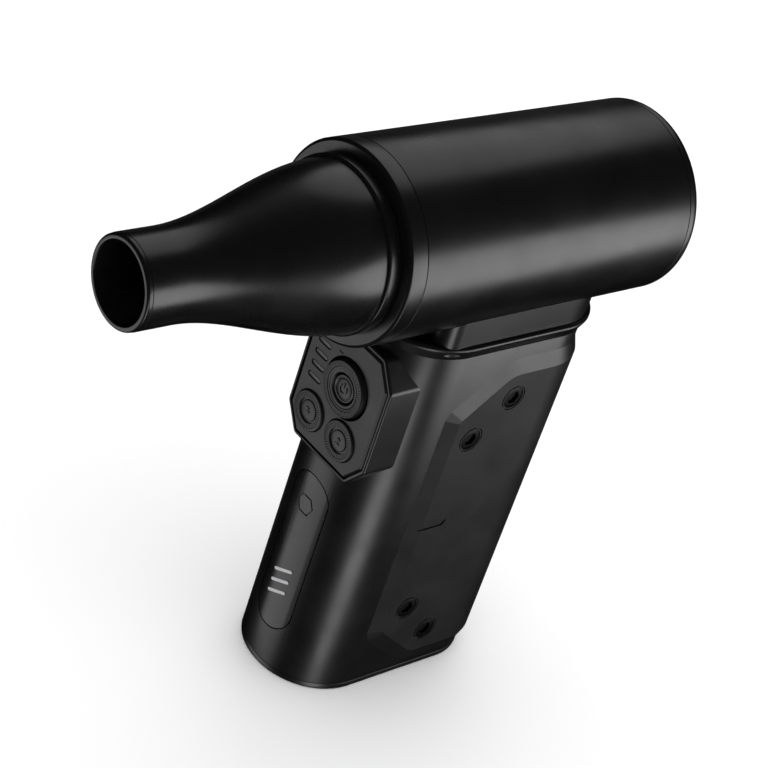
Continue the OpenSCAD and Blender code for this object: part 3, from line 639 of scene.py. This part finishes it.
def front_block(half_w, half_h, y0, y1):
    """A block behind the control panel, between two depths from the handle's front."""
    return slab(rounded(rectangle(-half_w, half_w, BLOCK_MID - half_h, BLOCK_MID + half_h)),
                "y", HANDLE_Y[0] + y0, HANDLE_Y[0] + y1)


def make_handle():
    z0, z1 = HANDLE_Z
    outer = plate(handle_outline(), "z", z0, z1, 0.15 * MM, 0.3 * MM, 3, 28)
    hollow = handle_core(-SHELL_WALL, z0 - 2 * MM, z1 + 2 * MM)
    window = front_block(14 * MM, 17 * MM, -2 * MM, 8 * MM)
    port_x, port_z = half("charge_port", 0) + 0.2 * MM, half("charge_port", 2) + 0.2 * MM
    port = slab(rounded(stadium(0, middle("charge_port", 2), port_x, port_z), 8), "y",
                HANDLE_Y[1] - 4 * MM, HANDLE_Y[1] + 2 * MM)
    slot = carved(inlay_slot(INLAY_GAP), handle_core(-1 * MM, -0.01, 0.2))
    shell = carved(outer, hollow, window, port, slot)
    piece("handle_skin", shell, "housing", ["handle_shell"], handle_finish,
          soften=0.2 * MM, crease=20)


def make_inlay():
    """A polished plate let into the handle's front and curved with it."""
    z_mid = middle("front_inlay", 2)
    z_half = half("front_inlay", 2)
    core = carved(handle_core(-0.05 * MM, z_mid - z_half - 2 * MM, z_mid + z_half + 2 * MM),
                  handle_core(-1 * MM, 0, 0.2))
    face = carved(core, inlay_slot(), how="INTERSECT")
    mark_z = z_mid + 18 * MM
    hexagon = carved(rod("y", 0, mark_z, 3.6 * MM, HANDLE_Y[0] - 2 * MM,
                         HANDLE_Y[0] + 0.6 * MM, sides=6),
                     rod("y", 0, mark_z, 3.1 * MM, HANDLE_Y[0] - 3 * MM,
                         HANDLE_Y[0] + 2 * MM, sides=6))
    piece("inlay_plate", carved(face, hexagon), "housing", ["front_inlay"],
          inlay_finish, soften=0.12 * MM, crease=20)
    bars = []
    for k in range(3):
        z = z_mid - 16 * MM + k * 4.2 * MM
        bar = slab(rounded(stadium(0, z, 0.5 * MM, 4 * MM), 5), "y",
                   HANDLE_Y[0] - 0.01 * MM, HANDLE_Y[0] + 0.2 * MM)
        bmesh.ops.rotate(bar, verts=bar.verts, cent=(0, 0, z),
                         matrix=Matrix.Rotation(math.radians(62), 3, "Y"))
        bars.append(bar)
    marks = as_object("inlay_marks", joined(*bars))
    marks.data.materials.append(mark_finish)
    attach(marks, "housing")


# ---- Side covers -----------------------------------------------------------------------

COVER_FRONT = -17 * MM
COVER_CUT = (18.8 * MM, 15.8 * MM)
COVER_SLOPE = 4.9 * MM
COVER_FACET = 1.8 * MM
GROOVE = 0.45 * MM
COVER_FACE = HANDLE_W + COVER_RISE
HEAD_SEAT = COVER_FACE - 1.2 * MM
SCREW_HEAD = 3.4 * MM


def find_screw_spots():
    """The four screws lie on two upright lines, the same way up and down from the middle."""
    low_y, high_y = span("cover_screws_left", 1)
    low_z, high_z = span("cover_screws_left", 2)
    mid = (low_z + high_z) / 2
    far = (high_y - SCREW_HEAD, high_z - SCREW_HEAD - mid)
    near = (low_y + SCREW_HEAD, far[1] - 12.5 * MM)
    return [(y, mid + s * dz) for s in (-1, 1) for y, dz in (far, near)]


SCREW_SPOTS = find_screw_spots()


def cover_blank():
    """The raised panel: a sloping band all round a flat face, wrapped round the rear corner."""
    z0, z1 = COVER_Z
    back = HANDLE_Y[1] + 30 * MM
    length = math.hypot(*COVER_CUT)
    facet = Vector(COVER_CUT) / length * COVER_FACET
    bend, soft = COVER_FRONT + COVER_CUT[0], 0.2 * MM
    outline = [(bend, z0, 13 * MM), (back, z0, 0), (back, z1, 0), (bend, z1, 13 * MM),
               (COVER_FRONT + facet.x, z1 - COVER_CUT[1] + facet.y, soft),
               (COVER_FRONT, z1 - COVER_CUT[1] - COVER_FACET, soft),
               (COVER_FRONT, z0 + COVER_CUT[1] + COVER_FACET, soft),
               (COVER_FRONT + facet.x, z0 + COVER_CUT[1] - facet.y, soft)]
    low, high = rounded(outline, 10), rounded(inset(outline, COVER_SLOPE), 10)
    return stack([low, low, high], "x", [HANDLE_W - 16 * MM, HANDLE_W, COVER_FACE])


def cover_stack():
    """The handle's outline grown by the cover's rise, sloping back at its top and bottom."""
    z0, z1 = COVER_Z
    grown = [rounded(handle_outline(g), 28) for g in (0.0, COVER_RISE, COVER_RISE, 0.0)]
    return stack(grown, "z", [z0, z0 + COVER_SLOPE, z1 - COVER_SLOPE, z1])


def screw_ring(y, z):
    """Cutter for the thin ring groove round a cover screw."""
    return carved(rod("x", y, z, 4.3 * MM, COVER_FACE - GROOVE, COVER_FACE + 2 * MM),
                  rod("x", y, z, 3.85 * MM, COVER_FACE - 1 * MM, COVER_FACE + 3 * MM))


def cover_mark():
    """Cutter for the thin arrow line in the middle of the cover."""
    z = (COVER_Z[0] + COVER_Z[1]) / 2
    points = ((2.2, 0), (13.2, 0), (14.6, 2), (13.4, 2), (12.5, 0.9), (2.2, 0.9))
    outline = [(COVER_FRONT + a * MM, z + b * MM, 0) for a, b in points]
    return slab(rounded(outline), "x", COVER_FACE - GROOVE, COVER_FACE + 2 * MM)


def make_side_cover(side):
    bm = carved(cover_blank(), cover_stack(), how="INTERSECT")
    wrap_end = span("side_cover_left", 1)[1]
    trim = slab(rounded(rectangle(-HANDLE_W, 2 * HANDLE_W, wrap_end, wrap_end + 0.1)),
                "z", -0.05, 0.3)
    cuts = [handle_core(0.002 * MM, -0.01, 0.2), trim]
    for y, z in SCREW_SPOTS:
        cuts.append(rod("x", y, z, SCREW_HEAD + 0.12 * MM, HEAD_SEAT, COVER_FACE + 2 * MM))
        cuts.append(rod("x", y, z, 1.4 * MM, COVER_FACE - 6 * MM, COVER_FACE + 2 * MM, sides=24))
        cuts.append(screw_ring(y, z))
    cuts.append(cover_mark())
    bm = carved(bm, *cuts)
    if side == "right":
        bm = mirrored(bm)
    piece("cover_panel_" + side, bm, "housing", ["side_cover_" + side],
          cover_finish, soften=0.22 * MM, crease=14)


def make_cover_screws(side):
    screws = []
    tip = span("cover_screws_left", 0)[0]
    for y, z in SCREW_SPOTS:
        head = carved(rod("x", y, z, SCREW_HEAD, HEAD_SEAT, COVER_FACE - 0.2 * MM, far=0.25 * MM),
                      rod("x", y, z, 2.25 * MM, HEAD_SEAT + 0.1 * MM, COVER_FACE + 1 * MM, sides=6))
        screws += [head, rod("x", y, z, 1.25 * MM, tip, HEAD_SEAT, sides=24)]
    bm = joined(*screws)
    if side == "right":
        bm = mirrored(bm)
    piece("cover_bolts_" + side, bm, "housing", ["cover_screws_" + side],
          screw_finish, crease=30)


def make_base():
    foot = plate(handle_outline(), "z", 0, HANDLE_Z[0], 0.9 * MM, 0.15 * MM, 4, 28)
    corners = ((13 * MM, -17 * MM), (12.5 * MM, 23 * MM))
    spots = [(side * x, y) for side in (-1, 1) for x, y in corners]
    holes = [upright(x, y, 2.6 * MM, -1 * MM, 1.4 * MM) for x, y in spots]
    holes += [upright(x, y, 1.4 * MM, -1 * MM, 5 * MM) for x, y in spots]
    piece("base_plate", carved(foot, *holes), "housing", ["base_cap"], cap_finish)
    screws = []
    for x, y in spots:
        screws.append(carved(rod("z", x, y, 2.4 * MM, 0.2 * MM, 1.4 * MM, near=0.2 * MM),
                             rod("z", x, y, 1.0 * MM, -1 * MM, 0.9 * MM, sides=6)))
        screws.append(rod("z", x, y, 1.25 * MM, 1.4 * MM, span("base_screws", 2)[1], sides=24))
    piece("base_bolts", joined(*screws), "housing", ["base_screws"], screw_finish,
          crease=30)


# ---- Controls --------------------------------------------------------------------------

BLOCK_CUT = (6 * MM, 8 * MM)
BLOCK_LIP = 1 * MM
BAR_HALF = 0.7 * MM
# The two small keys, their bodies, and the strokes of their signs as x0, z0, x1, z1 in millimetres.
KEYS = {
    "mode_button": ("mode_key", [(-0.9, 0.9, 0.3, 0.9), (0.3, 0.9, -0.5, -0.1),
                                 (-0.5, -0.1, 0.7, -0.1), (0.7, -0.1, -0.4, -1.4)]),
    "light_button": ("light_key", [(-0.8, -0.9, 0.8, -0.9), (0, -0.9, 0, 1.1),
                                   (-0.8, 0.3, 0, 1.1), (0.8, 0.3, 0, 1.1)]),
}


def block_outline():
    """The control block seen from the front: a rectangle with cut corners."""
    return cut_rectangle(0, BLOCK_MID, BLOCK_X, half("control_block", 2), BLOCK_CUT, 2.2 * MM)


def key_holes():
    """Cutters for the holes that the dial and the two keys reach through."""
    y0, y1 = HANDLE_Y[0] - 3 * MM, HANDLE_Y[0] + 4 * MM
    holes = [rod("y", DIAL_X, DIAL_Z, 6.7 * MM, y0, y1)]
    for node in KEYS:
        holes.append(rod("y", middle(node, 0), middle(node, 2), 2.45 * MM, y0, y1, sides=32))
    return holes


def make_control_block():
    outer = plate(block_outline(), "y", BLOCK_FRONT, HANDLE_Y[0] + 14 * MM, 0.7 * MM, 0, 4, 6)
    pocket = slab(rounded(inset(block_outline(), BLOCK_LIP), 6), "y", BLOCK_FRONT - 2 * MM,
                  HANDLE_Y[0] - 0.1 * MM)
    behind = front_block(13 * MM, 16 * MM, SHELL_WALL, 20 * MM)
    frame_ring = carved(outer, handle_core(0.002 * MM, -0.01, 0.2), pocket, behind, *key_holes())
    floor = front_block(13.8 * MM, 16.8 * MM, -0.1 * MM, SHELL_WALL)
    piece("control_frame", joined(frame_ring, carved(floor, *key_holes())), "housing",
          ["control_block"], cap_finish, crease=26)


def bar_rows():
    """Heights of the four level bars."""
    z0, z1 = span("level_bars", 2)
    return [z0 + BAR_HALF + (z1 - z0 - 2 * BAR_HALF) * k / 3 for k in range(4)]


def make_control_plate():
    edge = inset(block_outline(), BLOCK_LIP + 0.25 * MM)
    before, back = PLATE_FRONT - 1 * MM, HANDLE_Y[0] - 0.1 * MM
    rings = [rounded(inset(edge, d), 6) for d in (0.9 * MM, 0, 0)]
    face = stack(rings, "y", [PLATE_FRONT, PLATE_FRONT + 1.0 * MM, back])
    wells = [rod("y", DIAL_X, DIAL_Z, DIAL_R + 0.9 * MM, before, back + 1 * MM, sides=96)]
    for node in KEYS:
        wells.append(rod("y", middle(node, 0), middle(node, 2), half(node, 0) + 0.25 * MM,
                         before, back + 1 * MM, sides=96))
    x, half_bar = middle("level_bars", 0), half("level_bars", 0)
    for z in bar_rows():
        slot = stadium(x, z, half_bar + 0.2 * MM, BAR_HALF + 0.2 * MM)
        wells.append(slab(rounded(slot, 6), "y", before, PLATE_FRONT + 0.6 * MM))
    pointer = stadium(DIAL_X - 5.9 * MM, DIAL_Z + 8.6 * MM, 0.9 * MM, 0.3 * MM)
    wells.append(slab(rounded(pointer, 4), "y", before, PLATE_FRONT + 0.25 * MM))
    piece("control_face", carved(face, *wells), "housing", ["control_plate"],
          plate_finish, soften=0.1 * MM, crease=18)
    bars = [plate(stadium(x, z, half_bar, BAR_HALF), "y", PLATE_FRONT + 0.15 * MM,
                  PLATE_FRONT + 0.6 * MM, 0.25 * MM, 0, 3, 6) for z in bar_rows()]
    piece("level_lights", joined(*bars), "housing", ["level_bars"], bar_finish)


def knurled(profile, centre, teeth, band, depth, closed=True):
    """A turned solid whose band of radii carries flat ridges with narrow grooves between."""
    bm = turned(profile, centre, teeth * 6, closed)
    x, z = centre
    low, high = band
    for v in bm.verts:
        out = math.hypot(v.co.x - x, v.co.z - z)
        if low <= out <= high:
            turn = math.atan2(v.co.z - z, v.co.x - x) / math.tau * teeth
            if math.cos(math.tau * turn) > -0.6:
                v.co.y -= depth
    return bm


def arc_profile(r0, y0, r1, y1, sag, steps=8):
    """Points from one radius to another along a shallow curve that sags by sag."""
    return [(r0 + (r1 - r0) * k / steps,
             y0 + (y1 - y0) * k / steps + 4 * sag * (k / steps) * (1 - k / steps))
            for k in range(steps + 1)]


def make_dial():
    """The speed dial: a fine ridged rim round a dished cup."""
    front, back = span("speed_dial", 1)
    hole = 4.45 * MM
    r = DIAL_R
    cup = arc_profile(r - 2.5 * MM, front + 0.3 * MM, hole + 0.5 * MM, front + 0.45 * MM, 0.1 * MM)
    profile = [(6.4 * MM, back), (6.4 * MM, HANDLE_Y[0] - 0.3 * MM), (r, HANDLE_Y[0] - 0.3 * MM),
               (r, front + 0.45 * MM), (r - 0.12 * MM, front + 0.15 * MM), (r - 0.35 * MM, front),
               (r - 0.55 * MM, front + 0.02 * MM), (r - 0.65 * MM, front + 0.5 * MM),
               (r - 1.2 * MM, front + 0.5 * MM), (r - 1.9 * MM, front + 0.5 * MM),
               (r - 2.1 * MM, front + 0.3 * MM)]
    profile += cup + [(hole + 0.2 * MM, front + 1.1 * MM), (hole, front + 1.8 * MM), (hole, back)]
    bm = knurled(profile, (DIAL_X, DIAL_Z), 72, (r - 2.0 * MM, r - 0.6 * MM), 0.4 * MM)
    piece("dial_ring", bm, "dial", ["speed_dial"], key_finish, crease=26)


def glyph(strokes, width, y, depth):
    """Thin raised bars, each from one (x, z) point to another."""
    bars = []
    for (x0, z0), (x1, z1) in strokes:
        along = Vector((x1 - x0, z1 - z0))
        side = along.orthogonal().normalized() * width / 2
        a, b = Vector((x0, z0)), Vector((x1, z1))
        bars.append(slab([a - side, b - side, b + side, a + side], "y", y, y + depth))
    return joined(*bars)


def domed(radius, base, rise, steps):
    """Points of a low dome that stands forward of base and ends on its own axis."""
    return [(radius * math.cos(a), base - rise * math.sin(a)) for a in quarter(steps)]


def make_power_button():
    """Domed cap with a power sign: a broken ring and a bar."""
    front, back = span("power_button", 1)
    r = half("power_button", 0)
    base = HANDLE_Y[0] - 0.5 * MM
    profile = [(0, back), (KEY_STEM_R, back), (KEY_STEM_R, base), (r, base),
               (r, front + 0.9 * MM), (r - 0.25 * MM, front + 0.6 * MM),
               (r - 0.6 * MM, front + 0.6 * MM), (r - 0.8 * MM, front + 0.85 * MM)]
    profile += domed(r - 0.95 * MM, front + 0.85 * MM, 0.45 * MM, 8)
    bm = turned(profile, (DIAL_X, DIAL_Z), 96, closed=False)
    ring = 1.45 * MM
    arc = [(DIAL_X + ring * math.sin(a), DIAL_Z + ring * math.cos(a))
           for a in [math.radians(40 + 280 * k / 14) for k in range(15)]]
    upstroke = ((DIAL_X, DIAL_Z + 0.5 * MM), (DIAL_X, DIAL_Z + 2.0 * MM))
    sign = glyph([*zip(arc, arc[1:]), upstroke], 0.42 * MM, front + 0.16 * MM, 0.4 * MM)
    piece("power_cap", joined(bm, sign), "power_key", ["power_button"], key_finish,
          crease=30)


def make_small_button(node, body, sign):
    """Key with a ridged rim round a domed middle that carries its sign."""
    front, back = span(node, 1)
    x, z = middle(node, 0), middle(node, 2)
    r = half(node, 0)
    base = HANDLE_Y[0] - 1.1 * MM
    profile = [(0, back), (KEY_STEM_R, back), (KEY_STEM_R, base), (r, base), (r, front + 0.4 * MM),
               (r - 0.12 * MM, front + 0.12 * MM), (r - 0.4 * MM, front), (r - 0.8 * MM, front),
               (r - 0.95 * MM, front + 0.48 * MM), (r - 1.6 * MM, front + 0.48 * MM),
               (r - 2.3 * MM, front + 0.48 * MM), (r - 2.4 * MM, front + 0.62 * MM),
               (r - 2.85 * MM, front + 0.62 * MM)]
    profile += domed(r - 2.95 * MM, front + 0.4 * MM, 0.28 * MM, 6)
    bm = knurled(profile, (x, z), 42, (r - 2.35 * MM, r - 0.9 * MM), 0.38 * MM, closed=False)
    strokes = [((x + a * MM, z + b * MM), (x + c * MM, z + d * MM)) for a, b, c, d in sign]
    mark = glyph(strokes, 0.42 * MM, front - 0.1 * MM, 0.4 * MM)
    piece(node + "_cap", joined(bm, mark), body, [node], key_finish, crease=30)


# ---- Everything ------------------------------------------------------------------------

make_nozzle()
make_barrel()
make_grille()
make_saddle_and_cap()
make_handle()
make_inlay()
for name in ("left", "right"):
    make_side_cover(name)
    make_cover_screws(name)
make_base()
make_control_block()
make_control_plate()
make_dial()
make_power_button()
for node, (body, sign) in KEYS.items():
    make_small_button(node, body, sign)

INNER_FINISHES = {
    duct_finish: ["outlet_sleeve", "vane_housing", "fan_shroud", "pod_nose"],
    aluminium_finish: ["motor_base", "spinner_nut"],
    winding_finish: ["motor_core"],
    steel_finish: ["front_bearing", "rear_bearing", "motor_shaft", "barrel_screws",
                   "saddle_screws", "cap_screws", "charge_port"],
    bell_finish: ["rotor_bell", "magnet_ring"],
    impeller_finish: ["impeller"],
    rubber_finish: ["nozzle_seal"],
    cell_finish: ["cell_%d" % i for i in range(1, 7)],
    holder_finish: ["cell_holder_top", "cell_holder_bottom", "tact_switches", "dial_encoder"],
    nickel_finish: ["cell_tabs_top", "cell_tabs_bottom"],
    board_finish: ["charge_board", "driver_board", "panel_board"],
    lead_finish: ["motor_leads", "battery_leads"],
    capacitor_finish: ["capacitor"],
}
for finish, nodes in INNER_FINISHES.items():
    for node in nodes:
        for place in frame["nodes"][node].material_slots:
            place.material = finish

# ---- Floor, light and camera -----------------------------------------------------------


def make_floor():
    bm = bmesh.new()
    bmesh.ops.create_grid(bm, x_segments=1, y_segments=1, size=6.0)
    floor = as_object("floor", bm)
    f = Finish("pale_floor")
    f.blend_colours(f.noise(0.6), (0.86, 0.86, 0.86), (0.9, 0.9, 0.9))
    f.link(f.between(f.noise(0.2), 0.55, 0.65), f.shader.inputs["Roughness"])
    floor.data.materials.append(f.material)
    floor.visible_glossy = False
    floor.visible_shadow = False


LAMP_DISTANCE = 0.95


def soft_box(name, direction, size, power, tilt=0.0):
    """A large soft light that looks at the blower from a direction; tilt turns it in its plane."""
    target = Vector((0, -20 * MM, 110 * MM))
    light = bpy.data.lights.new(name, "AREA")
    light.shape = "ELLIPSE"
    light.size, light.size_y = size
    light.energy = power
    lamp = bpy.data.objects.new(name, light)
    lamp.location = target + Vector(direction).normalized() * LAMP_DISTANCE
    facing = (target - lamp.location).to_track_quat("-Z", "Y").to_matrix()
    lamp.rotation_euler = (facing @ Matrix.Rotation(math.radians(tilt), 3, "Z")).to_euler()
    lamp.visible_camera = False
    bpy.context.collection.objects.link(lamp)


def make_light():
    """Five soft boxes in a bright white room that the dark plastic itself doesn't mirror."""
    soft_box("upper_rear", (-0.37, 0.53, 0.69), (0.72, 0.95), 1.6, 38)
    soft_box("right_rear", (0.8, 0.57, -0.13), (0.95, 0.62), 5.4)
    soft_box("right_front", (0.788, -0.287, -0.545), (0.3, 0.9), 2.9)
    soft_box("left_front", (-0.42, -0.726, -0.545), (0.66, 0.9), 2.0)
    soft_box("left_rear", (-0.7, 0.6, -0.35), (0.9, 0.9), 0.08)
    world = bpy.data.worlds.new("studio")
    world.use_nodes = True
    background = world.node_tree.nodes["Background"]
    background.inputs["Color"].default_value = (1, 1, 1, 1)
    background.inputs["Strength"].default_value = 1.2
    world.cycles_visibility.glossy = False
    bpy.context.scene.world = world


def make_camera():
    """Front left and above, rolled so that the barrel climbs to the right."""
    azimuth, elevation, roll = math.radians(40.87), math.radians(33.06), math.radians(19.0)
    distance = 0.5834
    target = Vector((0.99 * BARREL_R, FRONT_Y + 0.10 * BARREL_R, AXIS_Z - 0.957 * BARREL_R))
    back = Vector((math.sin(azimuth) * math.cos(elevation),
                   -math.cos(azimuth) * math.cos(elevation), math.sin(elevation)))
    data = bpy.data.cameras.new("view")
    data.lens = 103.9
    data.clip_start, data.clip_end = 0.01, 20
    camera = bpy.data.objects.new("view", data)
    camera.location = target + back * distance
    level = (-back).to_track_quat("-Z", "Y").to_matrix()
    camera.rotation_euler = (level @ Matrix.Rotation(roll, 3, "Z")).to_euler()
    bpy.context.collection.objects.link(camera)
    bpy.context.scene.camera = camera


make_floor()
make_light()
make_camera()
bpy.context.scene.view_settings.view_transform = "Standard"
